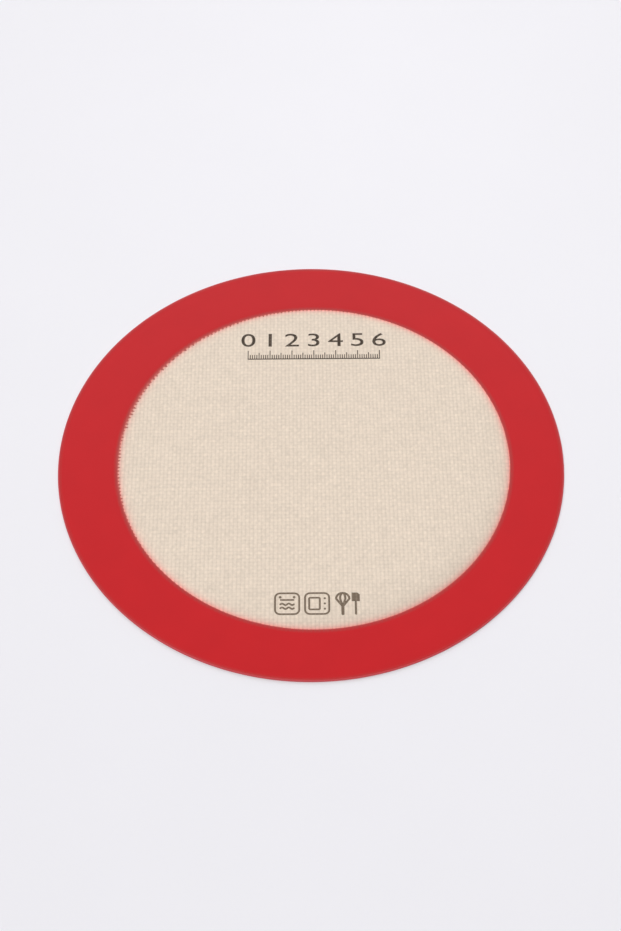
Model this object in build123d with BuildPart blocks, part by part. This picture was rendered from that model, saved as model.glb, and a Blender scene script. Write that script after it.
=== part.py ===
from build123d import *
import os

# A round baking mat that lies flat on Z = 0, with its middle on the Z axis. A woven glass cloth
# runs through the whole mat. Both of its faces have a clear silicone coat in the middle and a
# red silicone border round it, and a red silicone rim grips and closes the cloth's cut edge.
# All lengths are in millimetres.

# Sizes across the mat. The border is printed a little off the middle of the cut disc.
mat_diameter = 220
border_width = 24.6
border_shift_x = 1.2
border_shift_y = -0.95

# Thickness of the cloth and of one coat, and how far a border stands above the coat beside it
cloth_thickness = 0.26
coat_thickness = 0.12
border_rise = 0.10

# The rim: its wall beyond the cloth, the two lips that grip the cloth's bare margin, the
# shoulder that the borders stop against, and the rounding of its two outer corners
rim_wall = 0.8
rim_lip_length = 1.0
rim_lip_thickness = 0.12
rim_shoulder = 0.2
rim_corner_radius = 0.2

# Bevel along the inner edge of a border, as a share of its rise above the coat
border_bevel_share = 0.6

# Radii that follow from the sizes above, and the middle of the window inside the border
mat_radius = mat_diameter / 2
window_radius = mat_radius - border_width
window_middle = (border_shift_x, border_shift_y)
cloth_radius = mat_radius - rim_wall
lip_radius = cloth_radius - rim_lip_length
border_radius = cloth_radius + rim_shoulder

# Thicknesses and heights that follow, with the lower border's face at zero
border_thickness = coat_thickness + border_rise
cloth_z = border_thickness
cloth_top_z = cloth_z + cloth_thickness
mat_thickness = cloth_top_z + border_thickness
middle_plane = Plane.XY.offset(mat_thickness / 2)

os.makedirs("parts", exist_ok=True)

# Woven glass cloth, die-cut to a disc. It runs out past the borders into the rim's groove.
with BuildPart() as glass_cloth:
    with BuildSketch(Plane.XY.offset(cloth_z)):
        Circle(cloth_radius)
    extrude(amount=cloth_thickness)

glass_cloth.part.label = "glass_cloth"
export_step(glass_cloth.part, "parts/glass_cloth.step")

# Clear silicone coat on the cooking face, which fills the window inside the border
with BuildPart() as top_coat:
    with BuildSketch(Plane.XY.offset(cloth_top_z)):
        with Locations(window_middle):
            Circle(window_radius)
    extrude(amount=coat_thickness)

top_coat.part.label = "top_coat"
export_step(top_coat.part, "parts/top_coat.step")

# The same coat on the back of the cloth
with BuildPart() as back_coat:
    add(top_coat.part)
    mirror(about=middle_plane, mode=Mode.REPLACE)

back_coat.part.label = "back_coat"
export_step(back_coat.part, "parts/back_coat.step")

# Red border on the cooking face, laid on the cloth round the coat. Its edge towards the window
# is bevelled, because the silicone thins out there, and it is rebated over the rim's lip.
with BuildPart() as top_border:
    with BuildSketch(Plane.XY.offset(cloth_top_z)):
        Circle(border_radius)
        with Locations(window_middle):
            Circle(window_radius, mode=Mode.SUBTRACT)
    extrude(amount=border_thickness)
    upper_edges = top_border.edges().filter_by(GeomType.CIRCLE).group_by(Axis.Z)[-1]
    window_edge = upper_edges.sort_by(SortBy.RADIUS)[0]
    chamfer(window_edge, length=border_bevel_share * border_rise)
    with BuildSketch(Plane.XY.offset(cloth_top_z)):
        Circle(mat_radius)
        Circle(lip_radius, mode=Mode.SUBTRACT)
    extrude(amount=rim_lip_thickness, mode=Mode.SUBTRACT)

top_border.part.label = "top_border"
export_step(top_border.part, "parts/top_border.step")

# The same border on the back, in line with the one above
with BuildPart() as back_border:
    add(top_border.part)
    mirror(about=middle_plane, mode=Mode.REPLACE)

back_border.part.label = "back_border"
export_step(back_border.part, "parts/back_border.step")

# Red rim moulded round the cut edge. Its section is a channel: the groove holds the cloth, the
# two lips lie on the cloth's bare margin, and the borders run over them to the shoulders.
with BuildPart() as edge_rim:
    with BuildSketch(Plane.XZ) as rim_section:
        with BuildLine():
            Polyline(
                (border_radius, 0),
                (mat_radius, 0),
                (mat_radius, mat_thickness),
                (border_radius, mat_thickness),
                (border_radius, cloth_top_z + rim_lip_thickness),
                (lip_radius, cloth_top_z + rim_lip_thickness),
                (lip_radius, cloth_top_z),
                (cloth_radius, cloth_top_z),
                (cloth_radius, cloth_z),
                (lip_radius, cloth_z),
                (lip_radius, cloth_z - rim_lip_thickness),
                (border_radius, cloth_z - rim_lip_thickness),
                close=True,
            )
        make_face()
        outer_corners = rim_section.vertices().group_by(Axis.X)[-1]
        fillet(outer_corners, radius=rim_corner_radius)
    revolve(axis=Axis.Z)

edge_rim.part.label = "edge_rim"
export_step(edge_rim.part, "parts/edge_rim.step")
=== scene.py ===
import itertools
import math

import bmesh
import bpy
import numpy as np
from mathutils import Matrix, Vector
from mathutils.geometry import delaunay_2d_cdt


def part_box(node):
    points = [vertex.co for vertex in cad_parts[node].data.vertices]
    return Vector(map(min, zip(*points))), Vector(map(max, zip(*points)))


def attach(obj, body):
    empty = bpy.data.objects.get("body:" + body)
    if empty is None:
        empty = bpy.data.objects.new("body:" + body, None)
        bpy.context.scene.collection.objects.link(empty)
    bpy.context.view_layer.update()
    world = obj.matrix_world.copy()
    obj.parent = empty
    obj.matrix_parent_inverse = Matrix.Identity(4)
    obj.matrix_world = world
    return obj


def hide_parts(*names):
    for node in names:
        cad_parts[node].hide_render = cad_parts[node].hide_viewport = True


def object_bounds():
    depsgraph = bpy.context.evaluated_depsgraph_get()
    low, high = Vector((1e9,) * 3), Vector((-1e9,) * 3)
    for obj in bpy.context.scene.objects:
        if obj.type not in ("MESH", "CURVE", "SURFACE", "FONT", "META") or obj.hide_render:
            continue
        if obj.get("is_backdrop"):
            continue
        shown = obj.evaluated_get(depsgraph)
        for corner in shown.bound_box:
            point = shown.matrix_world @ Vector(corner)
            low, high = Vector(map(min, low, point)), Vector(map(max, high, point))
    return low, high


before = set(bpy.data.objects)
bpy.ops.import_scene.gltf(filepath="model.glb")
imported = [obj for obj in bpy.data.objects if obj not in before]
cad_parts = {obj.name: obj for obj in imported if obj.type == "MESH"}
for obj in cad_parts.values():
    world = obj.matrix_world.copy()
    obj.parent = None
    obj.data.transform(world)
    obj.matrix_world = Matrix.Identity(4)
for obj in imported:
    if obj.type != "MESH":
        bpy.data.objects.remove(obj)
cad_low, cad_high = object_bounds()
mm = 0.001

# The woven glass cloth. Flat glass yarns, the warp along Y and the weft along X, cross over and
# under by turns in an open plain weave, and the disc is die-cut from the roll. The coats, the
# borders and the rim are all bonded to it.
warp_pitch = 1.703 * mm
weft_pitch = 1.824 * mm
weave_turn = math.radians(0.31)
warp_width = 1.15 * mm
weft_width = 1.05 * mm
cloth_low, cloth_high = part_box("glass_cloth")
cloth_radius = (cloth_high.x - cloth_low.x) / 2
cloth_middle = (cloth_low.z + cloth_high.z) / 2
yarn_thickness = (cloth_high.z - cloth_low.z) / 2
shortest_end = 0.2
glass_cream = (0.78, 0.74, 0.66, 1)
filament_depth = 0.02 * mm
sharp_fold = math.radians(50)

# On the cloth's picture map each yarn has a row, with its two end caps beside it
row_margin = 0.05
half_row = 0.49
cap_width = 0.006
cap_places = (0.001, 0.993)


def to_weave(x, y):
    """A place counted in yarns: u is a whole number along a warp yarn, and v along a weft yarn."""
    turn_cos, turn_sin = math.cos(weave_turn), math.sin(weave_turn)
    return (x * turn_cos + y * turn_sin) / warp_pitch, (y * turn_cos - x * turn_sin) / weft_pitch


def from_weave(u, v):
    turn_cos, turn_sin = math.cos(weave_turn), math.sin(weave_turn)
    x, y = u * warp_pitch, v * weft_pitch
    return x * turn_cos - y * turn_sin, x * turn_sin + y * turn_cos


def shader_node(tree, kind, inputs=None, **settings):
    """One shader node with its settings. Its inputs are values, or sockets that they follow."""
    made = tree.nodes.new(kind)
    for name, value in settings.items():
        setattr(made, name, value)
    for name, value in (inputs or {}).items():
        if isinstance(value, bpy.types.NodeSocket):
            tree.links.new(value, made.inputs[name])
        else:
            made.inputs[name].default_value = value
    return made


def sums(tree, operation, *values):
    """The result of one sum on values or sockets."""
    return shader_node(
        tree, "ShaderNodeMath", dict(enumerate(values)), operation=operation
    ).outputs[0]


def blended(tree, share, first, second, blend_type="MIX"):
    """Two colours mixed by a share."""
    return shader_node(
        tree,
        "ShaderNodeMix",
        {0: share, 6: first, 7: second},
        data_type="RGBA",
        blend_type=blend_type,
    ).outputs[2]


def effect(name, inputs, outputs):
    """An empty shader group with number inputs and outputs, its input sockets and its last node."""
    tree = bpy.data.node_groups.new(name, "ShaderNodeTree")
    for label, value in inputs.items():
        socket = tree.interface.new_socket(label, in_out="INPUT", socket_type="NodeSocketFloat")
        socket.default_value = value
    for label in outputs:
        tree.interface.new_socket(label, in_out="OUTPUT", socket_type="NodeSocketFloat")
    return tree, tree.nodes.new("NodeGroupInput").outputs, tree.nodes.new("NodeGroupOutput")


def placed(tree, group, **values):
    """A group placed in a material with its own values. Gives its output sockets."""
    inputs = {name.replace("_", " "): value for name, value in values.items()}
    made = tree.nodes.new("ShaderNodeGroup")
    made.node_tree = group
    for name, value in inputs.items():
        made.inputs[name].default_value = value
    return made.outputs


def new_material(name, roughness, ior, shine=0.5):
    """A new material, its node tree and its shader."""
    made = bpy.data.materials.new(name)
    made.use_nodes = True
    shader = made.node_tree.nodes["Principled BSDF"]
    shader.inputs["Roughness"].default_value = roughness
    shader.inputs["IOR"].default_value = ior
    shader.inputs["Specular IOR Level"].default_value = shine
    return made, made.node_tree, shader


def new_piece(name, points, faces, material, replaced=(), places=None):
    """A closed mesh piece of the mat, with its faces turned outwards. Places are its picture map,
    one for each corner of each face."""
    mesh = bpy.data.meshes.new(name)
    mesh.from_pydata(points, [], faces)
    mesh.materials.append(material)
    if places is not None:
        layer = mesh.uv_layers.new(name="OFBake")
        layer.data.foreach_set("uv", np.asarray(places, np.float32).ravel())
    shell = bmesh.new()
    shell.from_mesh(mesh)
    bmesh.ops.recalc_face_normals(shell, faces=shell.faces)
    shell.to_mesh(mesh)
    shell.free()
    mesh.shade_smooth()
    mesh.set_sharp_from_angle(angle=sharp_fold)
    piece = bpy.data.objects.new(name, mesh)
    bpy.context.scene.collection.objects.link(piece)
    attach(piece, "root")
    if replaced:
        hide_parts(*replaced)
    return piece


# Grain: the fine unevenness of a surface, as a tone about 1 and as a height from 0 to 1
grain, given, last = effect(
    "grain", {"Size": 1.0, "Contrast": 0.1, "Soft Size": 20.0, "Soft Contrast": 0.05},
    ("Tone", "Height"),
)
ground = shader_node(grain, "ShaderNodeTexCoord").outputs["Object"]
layers = []
for size, contrast in (("Size", "Contrast"), ("Soft Size", "Soft Contrast")):
    scale = sums(grain, "DIVIDE", 1 / mm, given[size])
    noise = shader_node(
        grain, "ShaderNodeTexNoise", {"Vector": ground, "Scale": scale, "Detail": 3.0}
    ).outputs["Fac"]
    away = sums(grain, "SUBTRACT", noise, 0.5)
    layers.append((noise, sums(grain, "MULTIPLY", away, given[contrast])))
tone = sums(grain, "ADD", sums(grain, "ADD", layers[0][1], layers[1][1]), 1.0)
grain.links.new(tone, last.inputs["Tone"])
grain.links.new(layers[0][0], last.inputs["Height"])


def toned(tree, colour, *tones):
    """A colour made lighter or darker by one or more tones."""
    for tone in tones:
        grey = shader_node(tree, "ShaderNodeCombineColor", {0: tone, 1: tone, 2: tone}).outputs[0]
        colour = blended(tree, 1.0, colour, grey, "MULTIPLY")
    return colour


def bumped(tree, shader, *layers):
    """Turns the shader's normal by heights, each with its depth."""
    below = None
    for height, depth in layers:
        inputs = {"Height": height, "Distance": depth}
        if below:
            inputs["Normal"] = below
        below = shader_node(tree, "ShaderNodeBump", inputs).outputs["Normal"]
    tree.links.new(below, shader.inputs["Normal"])


glass_yarn, tree, shader = new_material("glass_yarn", roughness=0.4, ior=1.52)
filaments = placed(tree, grain, Size=0.08, Contrast=0.3, Soft_Size=6, Soft_Contrast=0.1)
glass = toned(tree, glass_cream, filaments["Tone"])
tree.links.new(glass, shader.inputs["Base Color"])
bumped(tree, shader, (filaments["Height"], filament_depth))

# A yarn's section as shares of its width and thickness: a flat lens
yarn_section = np.array([(-0.5, 0.0), (0.0, 0.5), (0.5, 0.0), (0.0, -0.5)])
points, faces, places = [], [], []
sets = [
    (warp_pitch, weft_pitch, warp_width, 1, lambda across, along: from_weave(across, along)),
    (weft_pitch, warp_pitch, weft_width, -1, lambda across, along: from_weave(along, across)),
]
counts = [int((cloth_radius - width / 2) / pitch) for pitch, _, width, _, _ in sets]
rows = sum(2 * count + 1 for count in counts)
row = 0
for (pitch, cross_pitch, width, side, place), count in zip(sets, counts):
    for i in range(-count, count + 1):
        reach = math.sqrt(cloth_radius**2 - (abs(i) * pitch + width / 2) ** 2) / cross_pitch
        inner = int(reach - shortest_end)
        along = np.array([-reach, *range(-inner, inner + 1), reach])[:, None] + np.zeros(4)
        across = i + yarn_section[:, 0] * width / pitch + 0 * along
        crimp = side * (-1) ** i * np.cos(np.pi * along) / 2
        x, y = place(across, along)
        z = cloth_middle + (crimp + yarn_section[:, 1]) * yarn_thickness
        start, rings = len(points), len(along)
        points.extend(np.stack([x, y, z], -1).reshape(-1, 3).tolist())
        run = 0.5 + half_row * along[:, 0] * cross_pitch / cloth_radius
        rises = (row + np.linspace(row_margin, 1 - row_margin, 5)) / rows
        for k in range(rings - 1):
            for j in range(4):
                a, b = start + 4 * k + j, start + 4 * k + (j + 1) % 4
                faces.append((a, b, b + 4, a + 4))
                places.extend(
                    [
                        (run[k], rises[j]),
                        (run[k], rises[j + 1]),
                        (run[k + 1], rises[j + 1]),
                        (run[k + 1], rises[j]),
                    ]
                )
        for first, edge in zip((start, start + 4 * (rings - 1)), cap_places):
            faces.append(tuple(range(first, first + 4)))
            corners = ((edge, 0), (edge + cap_width, 0), (edge + cap_width, 4), (edge, 4))
            places.extend((across_map, rises[up]) for across_map, up in corners)
        row += 1
woven_cloth = new_piece(
    "woven_cloth", points, faces, glass_yarn, ["glass_cloth"], places
)

# The clear silicone coats, one on each face of the cloth inside the border. The silicone is
# knife-coated on and soaks the cloth. It cures with a crown on each yarn and a small dip over
# each open mesh, and the cream glass shows through it. The upper one is the cooking face.
coat_low, coat_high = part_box("top_coat")
back_coat_low, back_coat_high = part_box("back_coat")
window_radius = (coat_high.x - coat_low.x) / 2
window_x = (coat_high.x + coat_low.x) / 2
window_y = (coat_high.y + coat_low.y) / 2
coat_dip = 0.045 * mm
coat_crown = (0.815, 0.702, 0.585, 1)
coat_mesh = (0.698, 0.59, 0.483, 1)
silicone_ior = 1.41
silicone_shine = 0.35
crown_polish = 0.08
dip_roughness = 0.5
weave_depth = 0.022 * mm
skin_depth = 0.006 * mm

# Beside the border the open meshes hold some of its red silicone, most of it on one side, where
# a thin film of it also lies over the crowns; painted shade darkens it in the dips. All round, the
# clear coat is tinted with a painted red glow from the border, most of all where they meet. On the
# side away from the run, painted shade makes the coat a little deeper in colour near the border.
# Reaches are in millimetres.
run_side = math.radians(150)
shade_side = math.radians(310)
# The brown in the dips beside the border is red silicone darkened by painted shade
seep_and_shade_brown = (0.36, 0.15, 0.115, 1)
seep_and_shade_core = 0.3
seep_and_shade_reach = 1.9
seep_and_shade_most = 0.4
seep_and_shade_elsewhere = 0.15
deepest_dip = 0.1
dip_edge = 0.6
# A painted red glow: the border's red light in the clear coat, painted into its colour
painted_glow_tint = (1.2, 0.44, 0.46, 1)
painted_glow_reach = 1.15
painted_glow_most = 1.0
film_red = (0.58, 0.17, 0.14, 1)
film_reach = 1.4
film_most = 0.5
# Painted shade on the coat near the border, on the side away from the run
shade_reach = 6.0
shade_depth = 0.2

# How the surface follows the cloth: the height of the warp and of the weft crowns, the share of
# a crown's height that is left where the yarn dives under, and where its shoulder ends, as a
# share of the pitch from its middle
warp_crown = 0.62
weft_crown = 0.29
dive = 0.26
shoulder = 0.16


def yarn_profile(count):
    """1 on a yarn, and falls to 0 in the middle of the open mesh beside it."""
    share = ((0.5 - np.abs(count - np.round(count))) / (0.5 - shoulder)).clip(0, 1)
    return share * share * (3 - 2 * share)


def relief(u, v):
    """Height of the coat's face over the weave, 0 in an open mesh and 1 on a warp crown."""
    over = 0.5 + 0.5 * np.cos(np.pi * u) * np.cos(np.pi * v)
    warp = warp_crown * yarn_profile(u) * (dive + (1 - dive) * over)
    weft = weft_crown * yarn_profile(v) * (dive + (1 - dive) * (1 - over))
    return (warp + weft) / (warp_crown + weft_crown * dive)


# The same relief for the materials, with a tone that differs a little from yarn to yarn and
# along each yarn, read from noise in which the yarns lie far apart
weave, given, last = effect(
    "weave", {"Yarn Contrast": 0.1, "Streak": 9.0}, ("Relief", "Yarn Tone")
)
noise_apart = 7.3
ground = shader_node(weave, "ShaderNodeTexCoord").outputs["Object"]
turned = shader_node(
    weave, "ShaderNodeVectorRotate", {"Vector": ground, "Angle": -weave_turn}
).outputs[0]
across = shader_node(weave, "ShaderNodeSeparateXYZ", {0: turned}).outputs
streak = sums(weave, "MULTIPLY", given["Streak"], mm)
profiles, waves, tones = {}, {}, []
for label, axis, way, pitch in (("Warp", "X", "Y", warp_pitch), ("Weft", "Y", "X", weft_pitch)):
    count = sums(weave, "DIVIDE", across[axis], pitch)
    yarn = sums(weave, "ROUND", count)
    aside = sums(weave, "ABSOLUTE", sums(weave, "SUBTRACT", count, yarn))
    profiles[label] = shader_node(
        weave,
        "ShaderNodeMapRange",
        {"Value": aside, "From Min": 0.5, "From Max": shoulder},
        interpolation_type="SMOOTHSTEP",
    ).outputs[0]
    waves[label] = sums(weave, "COSINE", sums(weave, "MULTIPLY", count, math.pi))
    along = sums(weave, "DIVIDE", across[way], streak)
    apart = sums(weave, "MULTIPLY", yarn, noise_apart)
    spot = shader_node(weave, "ShaderNodeCombineXYZ", {"X": apart, "Y": along}).outputs[0]
    chance = shader_node(
        weave, "ShaderNodeTexNoise", {"Vector": spot, "Scale": 1.0, "Detail": 2.0}
    ).outputs["Fac"]
    tones.append(sums(weave, "SUBTRACT", chance, 0.5))
over = sums(weave, "MULTIPLY_ADD", sums(weave, "MULTIPLY", *waves.values()), 0.5, 0.5)
under = sums(weave, "SUBTRACT", 1.0, over)
crowns = []
for label, crown, on_top in (("Warp", warp_crown, over), ("Weft", weft_crown, under)):
    height = sums(weave, "MULTIPLY_ADD", on_top, 1 - dive, dive)
    crowns.append(sums(weave, "MULTIPLY", sums(weave, "MULTIPLY", height, crown), profiles[label]))
height = sums(weave, "DIVIDE", sums(weave, "ADD", *crowns), warp_crown + weft_crown * dive)
weave.links.new(height, last.inputs["Relief"])
spread = sums(weave, "MULTIPLY", sums(weave, "ADD", *tones), given["Yarn Contrast"])
weave.links.new(sums(weave, "ADD", spread, 1.0), last.inputs["Yarn Tone"])

# How far a place lies inwards from the window's edge, in millimetres, and how much it is on the
# side where the border ran in most, and on the side of the painted shade, each from 0 to 1
window_edge, _, last = effect("window_edge", {}, ("Inwards", "Run Side", "Shade Side"))
ground = shader_node(window_edge, "ShaderNodeTexCoord").outputs["Object"]
from_middle = shader_node(
    window_edge,
    "ShaderNodeVectorMath",
    {0: ground, 1: (window_x, window_y, 0)},
    operation="SUBTRACT",
).outputs[0]
flat_way = shader_node(
    window_edge, "ShaderNodeVectorMath", {0: from_middle, 1: (1, 1, 0)}, operation="MULTIPLY"
).outputs[0]
distance = shader_node(
    window_edge, "ShaderNodeVectorMath", {0: flat_way}, operation="LENGTH"
).outputs["Value"]
short_of = sums(window_edge, "SUBTRACT", window_radius, distance)
window_edge.links.new(sums(window_edge, "DIVIDE", short_of, mm), last.inputs["Inwards"])
turned = shader_node(
    window_edge, "ShaderNodeVectorMath", {0: flat_way}, operation="NORMALIZE"
).outputs[0]
for label, side in (("Run Side", run_side), ("Shade Side", shade_side)):
    facing = shader_node(
        window_edge,
        "ShaderNodeVectorMath",
        {0: turned, 1: (math.cos(side), math.sin(side), 0)},
        operation="DOT_PRODUCT",
    ).outputs["Value"]
    facing = sums(window_edge, "MAXIMUM", facing, 0.0)
    window_edge.links.new(sums(window_edge, "POWER", facing, 2.0), last.inputs[label])


def fading(tree, value, full, none, most=1.0):
    """A mask that falls smoothly from its most, where the value is full, to 0, where it is none."""
    return shader_node(
        tree,
        "ShaderNodeMapRange",
        {"Value": value, "From Min": none, "From Max": full, "To Max": most},
        interpolation_type="SMOOTHSTEP",
    ).outputs[0]


def tailing(tree, value, reach, most):
    """A mask that falls off from its most, at 0, by a third for each four tenths of its reach."""
    share = sums(tree, "EXPONENT", sums(tree, "DIVIDE", value, -reach))
    return sums(tree, "MULTIPLY", share, most)


cream_silicone, tree, shader = new_material(
    "cream_silicone", roughness=0.45, ior=silicone_ior, shine=silicone_shine
)
cloth_below = placed(tree, weave, Yarn_Contrast=0.12, Streak=9)
beside = placed(tree, window_edge)
skin = placed(tree, grain, Size=1.1, Contrast=0.32, Soft_Size=28, Soft_Contrast=0.03)
cream = blended(tree, cloth_below["Relief"], coat_mesh, coat_crown)
# Painted shade: the coat darker near the border on the side away from the run
painted_shade = tailing(tree, beside["Inwards"], shade_reach, shade_depth)
painted_shade = sums(tree, "MULTIPLY", painted_shade, beside["Shade Side"])
painted_shade = sums(tree, "SUBTRACT", 1.0, painted_shade)
cream = toned(tree, cream, cloth_below["Yarn Tone"], skin["Tone"], painted_shade)
# Painted red glow from the border, strongest at the window's edge
painted_glow = tailing(tree, beside["Inwards"], painted_glow_reach, painted_glow_most)
cream = blended(tree, painted_glow, cream, painted_glow_tint, "MULTIPLY")
film = fading(tree, beside["Inwards"], 0, film_reach, film_most)
film = sums(tree, "MULTIPLY", film, beside["Run Side"])
cream = blended(tree, film, cream, film_red)
# Red silicone in the dips beside the border, darkened by painted shade
in_dips = fading(tree, cloth_below["Relief"], deepest_dip, dip_edge)
seep_and_shade = fading(tree, beside["Inwards"], seep_and_shade_core, seep_and_shade_reach, seep_and_shade_most)
seep_and_shade = sums(tree, "MULTIPLY", in_dips, seep_and_shade)
sided = sums(tree, "MULTIPLY_ADD", beside["Run Side"], 1 - seep_and_shade_elsewhere, seep_and_shade_elsewhere)
seep_and_shade = sums(tree, "MULTIPLY", seep_and_shade, sided)
cream = blended(tree, seep_and_shade, cream, seep_and_shade_brown)
tree.links.new(cream, shader.inputs["Base Color"])
gloss = sums(tree, "MULTIPLY_ADD", cloth_below["Relief"], -crown_polish, dip_roughness)
tree.links.new(sums(tree, "MULTIPLY", gloss, skin["Tone"]), shader.inputs["Roughness"])
bumped(tree, shader, (cloth_below["Relief"], weave_depth), (skin["Height"], skin_depth))

# The lines of the coat's mesh, as shares of a pitch: both shoulders and both edges of each
# warp yarn, and both shoulders of each weft yarn and the middle of the mesh beside it
warp_lines = (0.2, 0.37, 0.63, 0.8)
weft_lines = (0.26, 0.5, 0.74)
spare_yarns = 2
yarns_out = math.ceil(window_radius / warp_pitch) + spare_yarns
yarn_numbers = np.arange(-yarns_out, yarns_out)[:, None]
u_lines = (yarn_numbers + np.array(warp_lines)).ravel()
v_lines = (yarn_numbers + np.array(weft_lines)).ravel()
line_relief = relief(u_lines[:, None], v_lines[None, :])
least_gap = 0.12 * mm

# On the picture map of a coat or a border, the radius of its face, of its outer wall, and of
# the coat's small flat side in the corner
map_face = 0.478
map_wall = 0.492
map_corner = 0.935
map_flat_side = 0.055

x, y = from_weave(*np.meshgrid(u_lines, v_lines, indexing="ij"))
away = np.hypot(x - window_x, y - window_y)
inside = away < window_radius - least_gap
pull = np.where(inside, 1, window_radius / away)
x, y = window_x + (x - window_x) * pull, window_y + (y - window_y) * pull
z = np.where(inside, line_relief, relief(*to_weave(x, y)))
number = np.arange(x.size).reshape(x.shape)
cells = np.stack([number[:-1, :-1], number[1:, :-1], number[1:, 1:], number[:-1, 1:]], -1)
kept = inside[:-1, :-1] | inside[1:, :-1] | inside[1:, 1:] | inside[:-1, 1:]
cells = cells[kept]
used, cells = np.unique(cells, return_inverse=True)
cells = cells.reshape(-1, 4)
face = np.stack([x.ravel()[used], y.ravel()[used], z.ravel()[used]], -1)
edge = np.flatnonzero(~inside.ravel()[used])
around = np.arctan2(face[edge, 1] - window_y, face[edge, 0] - window_x)
edge = edge[np.argsort(around)]
edge_count = len(edge)


def coat(name, outer, inner, replaced):
    """A coat with its woven face at the height outer, and its flat face on the cloth, at inner."""
    below = 1 if outer > inner else -1
    points = face.copy()
    points[:, 2] = outer - below * coat_dip * (1 - face[:, 2])
    rim = face[edge].copy()
    rim[:, 2] = inner
    points = np.concatenate([points, rim, [(window_x, window_y, inner)]])
    low = len(face) + np.arange(edge_count)
    centre = len(points) - 1
    walls = np.stack([edge, np.roll(edge, -1), np.roll(low, -1), low], -1)
    fan = [(a, b, centre) for a, b in zip(low.tolist(), np.roll(low, -1).tolist())]
    faces = cells.tolist() + walls.tolist() + fan
    flat = (points[:, :2] - (window_x, window_y)) / window_radius
    upper = 0.5 + map_face * flat
    wall = 0.5 + map_wall * flat
    lower = map_corner + map_flat_side * flat
    wall_map = np.concatenate([upper[walls[:, :2]], wall[walls[:, 2:]]], 1)
    maps = (upper[cells], wall_map, lower[np.array(fan)])
    places = np.concatenate([part.reshape(-1, 2) for part in maps])
    return new_piece(name, points, faces, cream_silicone, [replaced], places)


coat_top = coat("coat_top", coat_high.z, coat_low.z, "top_coat")
coat_back = coat("coat_back", back_coat_low.z, back_coat_high.z, "back_coat")

# The red silicone borders, one on each face. The pigmented silicone is printed thickly on the
# bare cloth round the window, hides the weave and laps over the lips of the rim. Along its inner
# edge it thins out and runs a little way into the coat's dips, which makes small teeth.
border_low, border_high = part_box("top_border")
back_border_low, back_border_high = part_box("back_border")
border_radius = (border_high.x - border_low.x) / 2
rim_lip_length = 1.0 * mm
seat_gap = 0.02 * mm
corner = 0.04 * mm
tooth = 0.16 * mm
feather = 0.8 * mm

# How the inner edge rises from the coat, as shares of the feather and of the rise, the same for
# the root beside the coat's wall, and how far inwards from the outer edge the flat face has its
# other lines, in millimetres
edge_shares = [(0.0, -0.15), (0.06, 0.3), (0.16, 0.52), (0.32, 0.74), (0.55, 0.91), (1.0, 1.0)]
root_share = -0.2
flat_lines = (20, 14, 8, 3, 0.5)

# How far the red runs along each row of dips, in millimetres, drawn once for every yarn
run_range = (0.5, 2.0)
run_count = 128
run_seed = 5
run_lengths = np.random.default_rng(run_seed).uniform(*run_range, run_count) * mm

# The red, which is duller where it is thin, and browner in the teeth. Each fade is where it is
# full, where it ends, and its most: over the rim's lip by the distance from the outer edge, and
# the others in millimetres inwards from the window's edge
border_red = (0.552, 0.006, 0.0104, 1)
thin_red = (0.42, 0.04, 0.039, 1)
tooth_brown = (0.4, 0.125, 0.1, 1)
lip_fade = (0.3 * mm, 1.5 * mm, 0.4)
thin_fade = (-0.4, -2.1, 0.9)
film_fade = (0, -1.1, 0.5)
edge_fade = (0.05, -0.5, 0.3)
tooth_fade = (0.9, 0.1, 0.85)
dip_thinness = 1.2
crown_cover = 0.5
red_roughness = 0.36
red_skin_depth = 0.012 * mm

red_silicone, tree, shader = new_material(
    "red_silicone", red_roughness, silicone_ior, silicone_shine
)
skin = placed(tree, grain, Size=0.7, Contrast=0.03, Soft_Size=14, Soft_Contrast=0.1)
cloth_below = placed(tree, weave)
beside = placed(tree, window_edge)
ground = shader_node(tree, "ShaderNodeTexCoord").outputs["Object"]
flat_way = shader_node(
    tree, "ShaderNodeVectorMath", {0: ground, 1: (1, 1, 0)}, operation="MULTIPLY"
).outputs[0]
from_middle = shader_node(
    tree, "ShaderNodeVectorMath", {0: flat_way}, operation="LENGTH"
).outputs["Value"]
to_rim = sums(tree, "SUBTRACT", border_radius, from_middle)
over_lip = fading(tree, to_rim, *lip_fade)
thin = sums(tree, "MAXIMUM", fading(tree, beside["Inwards"], *thin_fade), over_lip)
dips = sums(tree, "MULTIPLY_ADD", cloth_below["Relief"], -crown_cover, dip_thinness)
thin = sums(tree, "MULTIPLY", thin, dips)
red = blended(tree, thin, toned(tree, border_red, skin["Tone"]), thin_red)
film = fading(tree, beside["Inwards"], *film_fade)
film = sums(tree, "MULTIPLY", film, beside["Run Side"])
film = sums(tree, "MULTIPLY", film, cloth_below["Relief"])
film = sums(tree, "ADD", film, fading(tree, beside["Inwards"], *edge_fade))
red = blended(tree, film, red, film_red)
red = blended(tree, fading(tree, beside["Inwards"], *tooth_fade), red, tooth_brown)
tree.links.new(red, shader.inputs["Base Color"])
gloss = sums(tree, "MULTIPLY", skin["Tone"], red_roughness)
tree.links.new(gloss, shader.inputs["Roughness"])
bumped(tree, shader, (skin["Height"], red_skin_depth))

border_steps = 2048
turn = np.linspace(0, 2 * np.pi, border_steps, endpoint=False)
heading = np.stack([np.cos(turn), np.sin(turn)], -1)

# On a border's picture map, the radii of the underside's lines
underside_radii = (0.33, 0.315, 0.30, 0.15, 0.12, 0.1)


def lofted(rings, maps):
    """Faces and picture map for rings of points joined one to the next, and the last to the
    first. Maps give each joint's two rings of places."""
    steps, count = len(rings[0]), len(rings)
    here = np.arange(steps)
    ahead = (here + 1) % steps
    faces, places = [], []
    for k in range(count):
        a, b = k * steps, (k + 1) % count * steps
        faces.append(np.stack([a + here, a + ahead, b + ahead, b + here], -1))
        low, high = maps[k]
        places.append(np.stack([low, low[ahead], high[ahead], high], 1).reshape(-1, 2))
    return np.concatenate(faces).tolist(), np.concatenate(places)


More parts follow.
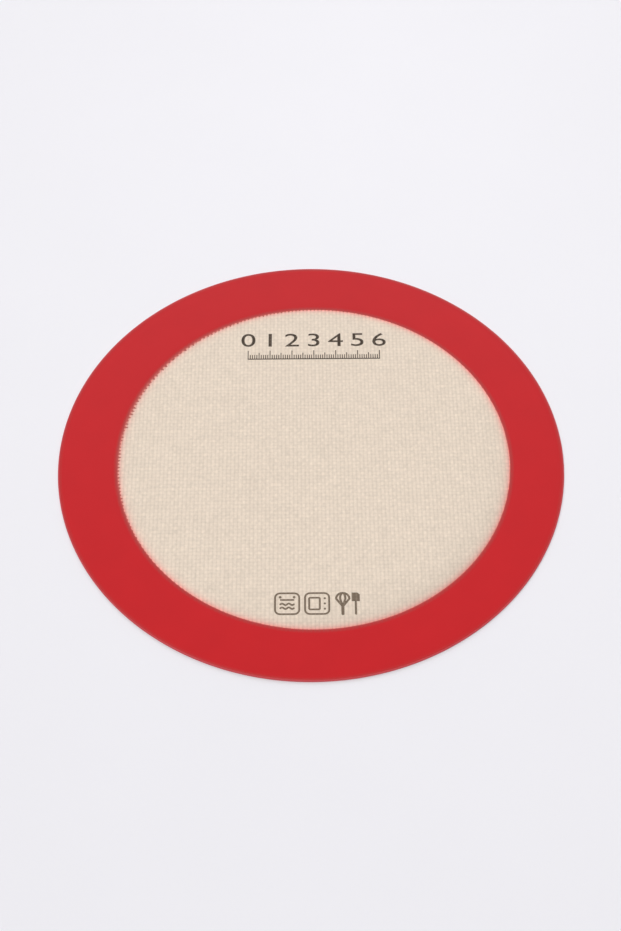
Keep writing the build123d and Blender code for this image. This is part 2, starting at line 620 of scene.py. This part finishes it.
def border(name, outer, inner, coat_face, lip_face, replaced):
    """A border with its face at the height outer, its seat on the cloth at inner, and a rebate
    that clears the rim's lip."""
    up = 1 if outer > inner else -1
    window = np.array([window_x, window_y])
    on_edge = window + window_radius * heading
    u, v = to_weave(on_edge[:, 0], on_edge[:, 1])
    run = 0
    for count, share in ((u, heading[:, 1] ** 2), (v, heading[:, 0] ** 2)):
        run = run + share * (1 - yarn_profile(count)) * run_lengths[np.floor(count).astype(int)]
    run = run * np.cos(turn - run_side).clip(0, 1) ** 2
    inner_radius = window_radius - tooth * (1 - relief(u, v)) - run
    span = border_radius - window_radius

    def ring(radius, share, z=0.0):
        """A ring of points. Its middle lies between the mat's, at share 0, and the window's."""
        flat = window * share + heading * np.reshape(radius, (-1, 1))
        return np.column_stack([flat, np.broadcast_to(z, len(flat))])

    def flat_ring(inward, z):
        return ring(border_radius - inward, inward / span, z)

    def edge_ring(outward, share, rise):
        """A ring near the window's edge, at a share of the rise from the coat to the face."""
        made = ring(outward, share)
        coat_z = coat_face - up * coat_dip * (1 - relief(*to_weave(made[:, 0], made[:, 1])))
        made[:, 2] = coat_z + (outer - coat_z) * rise
        return made

    lip = border_radius - (cloth_radius - rim_lip_length)
    seat_radius = window_radius + seat_gap
    rings = [
        edge_ring(inner_radius + feather * d, 1 - feather * d / span, rise)
        for d, rise in edge_shares
    ]
    rings += [flat_ring(line * mm, outer) for line in flat_lines]
    rings += [flat_ring(corner, outer), flat_ring(0, outer - up * corner), flat_ring(0, lip_face)]
    rings += [flat_ring(lip, lip_face), flat_ring(lip, inner)]
    rings += [ring(seat_radius, 1, inner), edge_ring(seat_radius, 1, root_share)]
    last_face = len(rings) - len(underside_radii)
    flats = [0.5 + r[:, :2] * map_face / border_radius for r in rings[: last_face + 1]]
    outside = 0.5 + map_wall * heading
    inward = [0.5 + radius * heading for radius in underside_radii]
    maps = [*zip(flats, flats[1:]), (flats[-1], outside), *zip(inward, inward[1:])]
    faces, places = lofted(rings, maps)
    points = np.concatenate(rings)
    return new_piece(name, points, faces, red_silicone, [replaced], places)


border_top = border(
    "border_top", border_high.z, border_low.z, coat_high.z, coat_high.z, "top_border"
)
border_back = border(
    "border_back", back_border_low.z, back_border_high.z, back_coat_low.z, back_coat_low.z,
    "back_border",
)

# The red rim, a bead of silicone moulded round the cut edge. Its groove holds the cloth, its two
# lips lie on the cloth's bare margin under the borders, and its outer corners are rounded, so
# that no cut end of a glass yarn is left open.
rim_low, rim_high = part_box("edge_rim")
mat_radius = (rim_high.x - rim_low.x) / 2
rim_corner = 0.2 * mm
rim_red = (0.53, 0.055, 0.066, 1)
rim_roughness = 0.45
rim_skin_depth = 0.01 * mm
rim_steps = 1440

# The rim's picture map holds it in strips, one above the other, with these margins
strips = 16
strip_margin = 0.04
end_margin = 0.01

rim_silicone, tree, shader = new_material(
    "rim_silicone", rim_roughness, silicone_ior, silicone_shine
)
skin = placed(tree, grain, Size=0.5, Contrast=0.05, Soft_Size=9, Soft_Contrast=0.14)
tree.links.new(toned(tree, rim_red, skin["Tone"]), shader.inputs["Base Color"])
gloss = sums(tree, "MULTIPLY", skin["Tone"], rim_roughness)
tree.links.new(gloss, shader.inputs["Roughness"])
bumped(tree, shader, (skin["Height"], rim_skin_depth))


def rounded(middle_r, middle_z, radius, start, end, steps=5):
    """Points of an arc in the rim's section, between two angles in degrees."""
    angles = np.radians(np.linspace(start, end, steps + 1))
    return [(middle_r + radius * math.cos(a), middle_z + radius * math.sin(a)) for a in angles]


lip_radius = cloth_radius - rim_lip_length
half_section = rounded(border_radius + corner, rim_high.z - corner, corner, 180, 90, 2)
half_section += rounded(mat_radius - rim_corner, rim_high.z - rim_corner, rim_corner, 90, 0)
other_half = [(r, rim_low.z + rim_high.z - z) for r, z in reversed(half_section)]
groove = [
    (border_radius, back_coat_low.z),
    (lip_radius, back_coat_low.z),
    (lip_radius, cloth_low.z),
    (cloth_radius, cloth_low.z),
    (cloth_radius, cloth_high.z),
    (lip_radius, cloth_high.z),
    (lip_radius, coat_high.z),
    (border_radius, coat_high.z),
]
section = half_section + other_half + groove
turn = np.linspace(0, 2 * np.pi, rim_steps, endpoint=False)
rings = [
    np.stack([r * np.cos(turn), r * np.sin(turn), np.full(rim_steps, z)], -1) for r, z in section
]
lengths = [math.dist(section[k], section[(k + 1) % len(section)]) for k in range(len(section))]
runs = strip_margin + (1 - 2 * strip_margin) * np.cumsum([0.0, *lengths]) / sum(lengths)
in_strip = rim_steps // strips
here = np.arange(rim_steps)
ahead = (here + 1) % rim_steps
strip = here // in_strip
left = end_margin + (1 - 2 * end_margin) * (here % in_strip) / in_strip
right = left + (1 - 2 * end_margin) / in_strip
faces, places = [], []
for k in range(len(section)):
    a, b = k * rim_steps, (k + 1) % len(section) * rim_steps
    faces.append(np.stack([a + here, a + ahead, b + ahead, b + here], -1))
    low, high = (strip + runs[k]) / strips, (strip + runs[k + 1]) / strips
    corners = [(left, low), (right, low), (right, high), (left, high)]
    places.append(np.stack([np.stack(corner, -1) for corner in corners], 1).reshape(-1, 2))
rim_bead = new_piece(
    "rim_bead",
    np.concatenate(rings),
    np.concatenate(faces).tolist(),
    rim_silicone,
    ["edge_rim"],
    np.concatenate(places),
)

# The printed measure near the far side, a film of dark brown ink pad-printed on the cooking
# face: a comb of millimetre marks with a bold number at each centimetre. The ink follows the
# woven face under it, and is a little thinner over the dips.
measure_x = 1.7 * mm
measure_y = 54.8 * mm
centimetre = 10 * mm
centimetres = 6
marks_each = 10
mark_width = 0.4 * mm
base_line = 0.55 * mm
mark_lengths = {10: 5.2 * mm, 5: 3.9 * mm, 1: 2.7 * mm}
number_y = 62.4 * mm
number_height = 7.6 * mm
number_widening = 1.35
number_curve_steps = 6
dark_brown = (0.045, 0.03, 0.019, 1)
worn_brown = (0.17, 0.125, 0.088, 1)
ink_thickness = 0.03 * mm
ink_root = 0.02 * mm
ink_weave_depth = 0.02 * mm
wear_start = 0.35
wear_end = 1.3
wear_most = 0.8


def ink(name, full, worn):
    """A brown ink, full over the yarns' crowns and worn to a paler tone over the dips."""
    made, tree, shader = new_material(name, roughness=0.55, ior=1.45, shine=0.35)
    cloth_below = placed(tree, weave)
    skin = placed(tree, grain, Size=0.4, Contrast=0.6, Soft_Size=5, Soft_Contrast=0.3)
    wear = shader_node(
        tree,
        "ShaderNodeMapRange",
        {
            "Value": sums(tree, "SUBTRACT", skin["Tone"], cloth_below["Relief"]),
            "From Min": wear_start,
            "From Max": wear_end,
            "To Max": wear_most,
        },
    ).outputs[0]
    tree.links.new(blended(tree, wear, full, worn), shader.inputs["Base Color"])
    bumped(tree, shader, (cloth_below["Relief"], ink_weave_depth), (skin["Height"], skin_depth))
    return made


brown_ink = ink("brown_ink", dark_brown, worn_brown)


def coat_surface(x, y):
    """Height of the top coat's woven face, as its mesh has it."""
    u, v = to_weave(x, y)
    i = (np.searchsorted(u_lines, u) - 1).clip(0, len(u_lines) - 2)
    j = (np.searchsorted(v_lines, v) - 1).clip(0, len(v_lines) - 2)
    s = (u - u_lines[i]) / (u_lines[i + 1] - u_lines[i])
    t = (v - v_lines[j]) / (v_lines[j + 1] - v_lines[j])
    near = line_relief[i, j] * (1 - s) + line_relief[i + 1, j] * s
    far = line_relief[i, j + 1] * (1 - s) + line_relief[i + 1, j + 1] * s
    return coat_high.z - coat_dip * (1 - (near * (1 - t) + far * t))


# How near points are before they count as one, in millimetres as the outlines are joined, and
# in metres as the film is cut and welded
outline_slack = 1e-5
cut_slack = 1e-8
weld_slack = 1e-6


def ink_film(name, shapes, material):
    """A film of ink on the top coat, from flat convex shapes given as lists of corners. Shapes
    may overlap. The film is cut along the lines of the coat's mesh, so that it lies close on it."""
    corners, outlines = [], []
    for shape in shapes:
        outlines.append(list(range(len(corners), len(corners) + len(shape))))
        corners.extend(Vector(corner) / mm for corner in shape)
    joined = delaunay_2d_cdt(corners, [], outlines, 1, outline_slack)
    spots = np.array([p[:] for p in joined[0]]) * mm
    middles = np.array([spots[list(triangle)].mean(0) for triangle in joined[2]])
    inked = np.zeros(len(middles), bool)
    for shape in map(np.array, shapes):
        sides, offsets = np.roll(shape, -1, 0) - shape, middles[:, None] - shape
        turns = sides[:, 0] * offsets[..., 1] - sides[:, 1] * offsets[..., 0]
        inked |= (turns > 0).all(1) | (turns < 0).all(1)
    film = bmesh.new()
    verts = [film.verts.new((x, y, 0)) for x, y in spots]
    for triangle in itertools.compress(joined[2], inked):
        film.faces.new([verts[i] for i in triangle])
    flat = np.array([v.co[:2] for v in film.verts])
    u, v = to_weave(flat[:, 0], flat[:, 1])
    way_u = Vector((math.cos(weave_turn), math.sin(weave_turn), 0))
    way_v = Vector((-math.sin(weave_turn), math.cos(weave_turn), 0))
    cuts = [(way_u, line * warp_pitch) for line in u_lines if u.min() < line < u.max()]
    cuts += [(way_v, line * weft_pitch) for line in v_lines if v.min() < line < v.max()]
    for way, distance in cuts:
        everything = film.verts[:] + film.edges[:] + film.faces[:]
        bmesh.ops.bisect_plane(
            film, geom=everything, dist=cut_slack, plane_co=way * distance, plane_no=way
        )
    bmesh.ops.remove_doubles(film, verts=film.verts, dist=weld_slack)
    film.verts.index_update()
    flat = np.array([v.co[:2] for v in film.verts])
    height = coat_surface(flat[:, 0], flat[:, 1])
    top = np.column_stack([flat, height + ink_thickness])
    bottom = np.column_stack([flat, height - ink_root])
    count = len(flat)
    faces = []
    for f in film.faces:
        ring = [v.index for v in f.verts]
        faces += [ring, [i + count for i in reversed(ring)]]
    for e in film.edges:
        if e.is_boundary:
            a, b = (v.index for v in e.verts)
            faces.append([a, b, b + count, a + count])
    film.free()
    points = np.concatenate([top, bottom])
    return new_piece(name, points, faces, material)


def number_shapes(text, x):
    """The filled triangles of one bold, wide number with its middle at x."""
    letters = bpy.data.curves.new("number", "FONT")
    letters.body = text
    letters.resolution_u = number_curve_steps
    holder = bpy.data.objects.new("number", letters)
    mesh = bpy.data.meshes.new_from_object(holder)
    flat = np.array([v.co[:2] for v in mesh.vertices])
    low, high = flat.min(0), flat.max(0)
    scale = number_height / (high[1] - low[1])
    flat = (flat - ((low[0] + high[0]) / 2, low[1])) * (scale * number_widening, scale)
    flat += (x, number_y)
    shapes = [[flat[i] for i in face.vertices] for face in mesh.polygons]
    bpy.data.objects.remove(holder)
    bpy.data.meshes.remove(mesh)
    bpy.data.curves.remove(letters)
    return shapes


def bar(left, bottom, right, top):
    return [(left, bottom), (right, bottom), (right, top), (left, top)]


measure_left = measure_x - centimetres / 2 * centimetre
measure_right = measure_x + centimetres / 2 * centimetre
half_mark = mark_width / 2
shapes = [
    bar(measure_left - half_mark, measure_y, measure_right + half_mark, measure_y + base_line)
]
for mark in range(centimetres * marks_each + 1):
    length = next(size for step, size in mark_lengths.items() if mark % step == 0)
    x = measure_left + mark * centimetre / marks_each
    shapes.append(bar(x - half_mark, measure_y, x + half_mark, measure_y + length))
for number in range(centimetres + 1):
    shapes += number_shapes(str(number), measure_left + number * centimetre)
measure_print = ink_film("measure_print", shapes, brown_ink)

# The three printed symbols near the near side, in a thinner coat of the same ink drawn with one
# pen: an oven with two knobs and rising heat, a microwave oven with its window and three
# buttons, and a whisk beside a spatula.
oven_x = -10.2 * mm
microwave_x = 2.1 * mm
tools_x = 14.7 * mm
symbol_y = -74.1 * mm
symbol_size = 10.7 * mm
symbol_corner = 2.0 * mm
symbol_line = 0.8 * mm
tool_line = 0.92 * mm
handle_line = 1.4 * tool_line
knob_radius = 0.75 * symbol_line
button_radius = 0.6 * symbol_line
faded_brown = (0.165, 0.121, 0.083, 1)
faded_worn = (0.32, 0.25, 0.182, 1)

# What is inside the symbols: how far aside of the middle, how high and how large, all in shares
# of half a symbol's size
knob_aside = 0.58
knob_height = 0.62
rail_height = 0.36
rail_reach = 0.52
heat_heights = (-0.06, -0.43)
heat_reach = 0.56
heat_swing = 0.08
heat_steps = 16
pane_aside = -0.22
pane_width = 0.44
pane_height = 0.56
pane_corner = 0.1
button_aside = 0.64
button_heights = (-0.5, 0.0, 0.5)
whisk_aside = -0.42
whisk_neck = -0.3
balloon_height = 0.45
balloon_radius = 0.55
balloon_squashes = (1.0, 0.4)
balloon_steps = 10
spatula_aside = 0.66
stem_top = 0.3
blade_width = 0.34
blade_foot = 0.2
blade_shoulder = 0.85
blade_top = 1.03
blade_cut = 0.136

faded_ink = ink("faded_ink", faded_brown, faded_worn)


def dot(middle, radius, steps=12):
    angles = 2 * np.pi * np.arange(steps) / steps
    return [(middle[0] + radius * math.cos(a), middle[1] + radius * math.sin(a)) for a in angles]


def pen(path, width=symbol_line, closed=False):
    """The shapes of a line drawn along a path with a round pen."""
    path = [np.array(p, float) for p in path]
    shapes = []
    for a, b in zip(path, path[1:] + path[:1] if closed else path[1:]):
        way = (b - a) / np.linalg.norm(b - a) * width / 2
        aside = np.array([-way[1], way[0]])
        shapes.append([a - aside, b - aside, b + aside, a + aside])
    return shapes + [dot(p, width / 2) for p in path]


def arc(x, y, radius, start, end, steps=4, squash=1.0):
    angles = np.radians(np.linspace(start, end, steps + 1))
    return [(x + radius * math.cos(a) * squash, y + radius * math.sin(a)) for a in angles]


def frame_path(x, y, half_width, half_height, corner):
    """The middle line of a rounded box."""
    across, up = half_width - corner, half_height - corner
    path = arc(x + across, y + up, corner, 0, 90)
    path += arc(x - across, y + up, corner, 90, 180)
    path += arc(x - across, y - up, corner, 180, 270)
    return path + arc(x + across, y - up, corner, 270, 360)


half = (symbol_size - symbol_line) / 2


def place_in(x, aside, height):
    """A place in a symbol whose middle is at x."""
    return x + aside * half, symbol_y + height * half


shapes = []
for x in (oven_x, microwave_x):
    shapes += pen(frame_path(x, symbol_y, half, half, symbol_corner), closed=True)
for side in (-knob_aside, knob_aside):
    shapes.append(dot(place_in(oven_x, side, knob_height), knob_radius))
shapes += pen([place_in(oven_x, side, rail_height) for side in (-rail_reach, rail_reach)])
for height in heat_heights:
    wave = [
        place_in(oven_x, s * heat_reach, height + heat_swing * math.sin(s * 2 * math.pi))
        for s in np.linspace(-1, 1, heat_steps + 1)
    ]
    shapes += pen(wave)
pane_x, pane_y = place_in(microwave_x, pane_aside, 0)
pane = frame_path(pane_x, pane_y, pane_width * half, pane_height * half, pane_corner * half)
shapes += pen(pane, closed=True)
for height in button_heights:
    shapes.append(dot(place_in(microwave_x, button_aside, height), button_radius))
neck = place_in(tools_x, whisk_aside, whisk_neck)
balloon_x, balloon_y = place_in(tools_x, whisk_aside, balloon_height)
for squash in balloon_squashes:
    balloon = arc(balloon_x, balloon_y, balloon_radius * half, 180, 0, balloon_steps, squash)
    shapes += pen([neck, *balloon, neck], tool_line)
shapes += pen([neck, place_in(tools_x, whisk_aside, -1)], handle_line)
shapes += pen([place_in(tools_x, spatula_aside, end) for end in (stem_top, -1)], tool_line)
blade = [
    (-blade_width, blade_foot),
    (blade_width, blade_foot),
    (blade_width, blade_shoulder),
    (blade_cut, blade_top),
    (-blade_width, blade_top),
]
shapes.append([place_in(tools_x, spatula_aside + side, height) for side, height in blade])
symbol_prints = ink_film("symbol_prints", shapes, faded_ink)

# The plain pale floor that the mat lies on, with a painted pool of light that makes it a little
# brighter towards the far side, and the even studio light: a soft box above and behind the camera,
# a pale room, and a bright white screen beyond the far side, low down, which gives the satin its
# faint sheen there.
floor_painted_light = (0.905, 0.903, 0.949, 1)
floor_pale = (0.841, 0.839, 0.882, 1)
painted_light_middle = (0.03, 0.22, 0)
painted_light_reach = 0.45
floor_size = 60
floor_gap = 0.01 * mm
room_colour = (1, 0.995, 1, 1)
room_light = 0.25
screen_light = 2.6
screen_height = math.radians(20)
screen_core = math.radians(12)
screen_edge = math.radians(46)
lamp_from = Vector((-0.25, -0.42, 0.9))
lamp_spread = math.radians(60)
lamp_colour = (1, 0.985, 0.97)
lamp_energy = 1.91

floor_paint, tree, shader = new_material("floor_paint", roughness=0.9, ior=1.2, shine=0)
ground = shader_node(tree, "ShaderNodeTexCoord").outputs["Object"]
# Painted light: the floor is brighter near a spot towards the far side, paler farther off
limits = (floor_size, painted_light_middle[1], floor_size)
spot = shader_node(
    tree, "ShaderNodeVectorMath", {0: ground, 1: limits}, operation="MINIMUM"
).outputs[0]
distance = shader_node(
    tree, "ShaderNodeVectorMath", {0: spot, 1: painted_light_middle}, operation="DISTANCE"
).outputs["Value"]
painted_light_falloff = shader_node(
    tree, "ShaderNodeMapRange", {"Value": distance, "From Max": painted_light_reach}
).outputs[0]
speck = placed(tree, grain, Size=1.5, Contrast=0.01, Soft_Size=60, Soft_Contrast=0.02)
pale = toned(tree, blended(tree, painted_light_falloff, floor_painted_light, floor_pale), speck["Tone"])
tree.links.new(pale, shader.inputs["Base Color"])
far = floor_size / 2
mesh = bpy.data.meshes.new("floor")
mesh.from_pydata(
    [(-far, -far, 0), (far, -far, 0), (far, far, 0), (-far, far, 0)], [], [(0, 1, 2, 3)]
)
mesh.materials.append(floor_paint)
floor = bpy.data.objects.new("floor", mesh)
floor.location.z = cad_low.z - floor_gap
bpy.context.scene.collection.objects.link(floor)
floor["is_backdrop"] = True

world = bpy.data.worlds.new("studio")
bpy.context.scene.world = world
world.use_nodes = True
tree = world.node_tree
sky = tree.nodes["Background"]
sky.inputs["Color"].default_value = room_colour
way = shader_node(tree, "ShaderNodeTexCoord").outputs["Generated"]
facing = shader_node(
    tree,
    "ShaderNodeVectorMath",
    {0: way, 1: (0, math.cos(screen_height), math.sin(screen_height))},
    operation="DOT_PRODUCT",
).outputs["Value"]
off_screen = sums(tree, "ARCCOSINE", facing)
light = shader_node(
    tree,
    "ShaderNodeMapRange",
    {
        "Value": off_screen,
        "From Min": screen_edge,
        "From Max": screen_core,
        "To Min": room_light,
        "To Max": room_light + screen_light,
    },
    interpolation_type="SMOOTHSTEP",
).outputs[0]
tree.links.new(light, sky.inputs["Strength"])

# What the camera sees beyond the floor has the floor's own colour
seen = tree.nodes.new("ShaderNodeBackground")
seen.inputs["Color"].default_value = floor_pale
seen.inputs["Strength"].default_value = 1.0
rays = shader_node(tree, "ShaderNodeLightPath").outputs
by_eye = rays["Is Camera Ray"]
for mirrored in ("Is Glossy Ray", "Is Transmission Ray"):
    by_eye = sums(tree, "MAXIMUM", by_eye, rays[mirrored])
both = shader_node(
    tree, "ShaderNodeMixShader", {0: by_eye, 1: sky.outputs[0], 2: seen.outputs[0]}
)
tree.links.new(both.outputs[0], tree.nodes["World Output"].inputs["Surface"])

lamp = bpy.data.lights.new("soft_box", "SUN")
lamp.energy = lamp_energy
lamp.angle = lamp_spread
lamp.color = lamp_colour
soft_box = bpy.data.objects.new("soft_box", lamp)
soft_box.rotation_euler = lamp_from.to_track_quat("Z", "Y").to_euler()
bpy.context.scene.collection.objects.link(soft_box)

# The camera stands on the near side and looks down at the mat. Its tilt is from straight down,
# and its roll is the slight lean of the picture
camera_place = Matrix.Translation((-0.0002, -0.4147, 0.5767))
camera_tilt = Matrix.Rotation(math.radians(35.441), 4, "X")
camera_roll = Matrix.Rotation(math.radians(-0.424), 4, "Z")
camera_data = bpy.data.cameras.new("camera")
camera_data.sensor_width = 36
camera_data.lens = 62.92
camera_data.clip_start = 0.01
camera_data.clip_end = 200
camera = bpy.data.objects.new("camera", camera_data)
camera.matrix_world = camera_place @ camera_tilt @ camera_roll
bpy.context.scene.collection.objects.link(camera)
bpy.context.scene.camera = camera
bpy.context.scene.view_settings.view_transform = "Standard"

low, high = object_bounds()
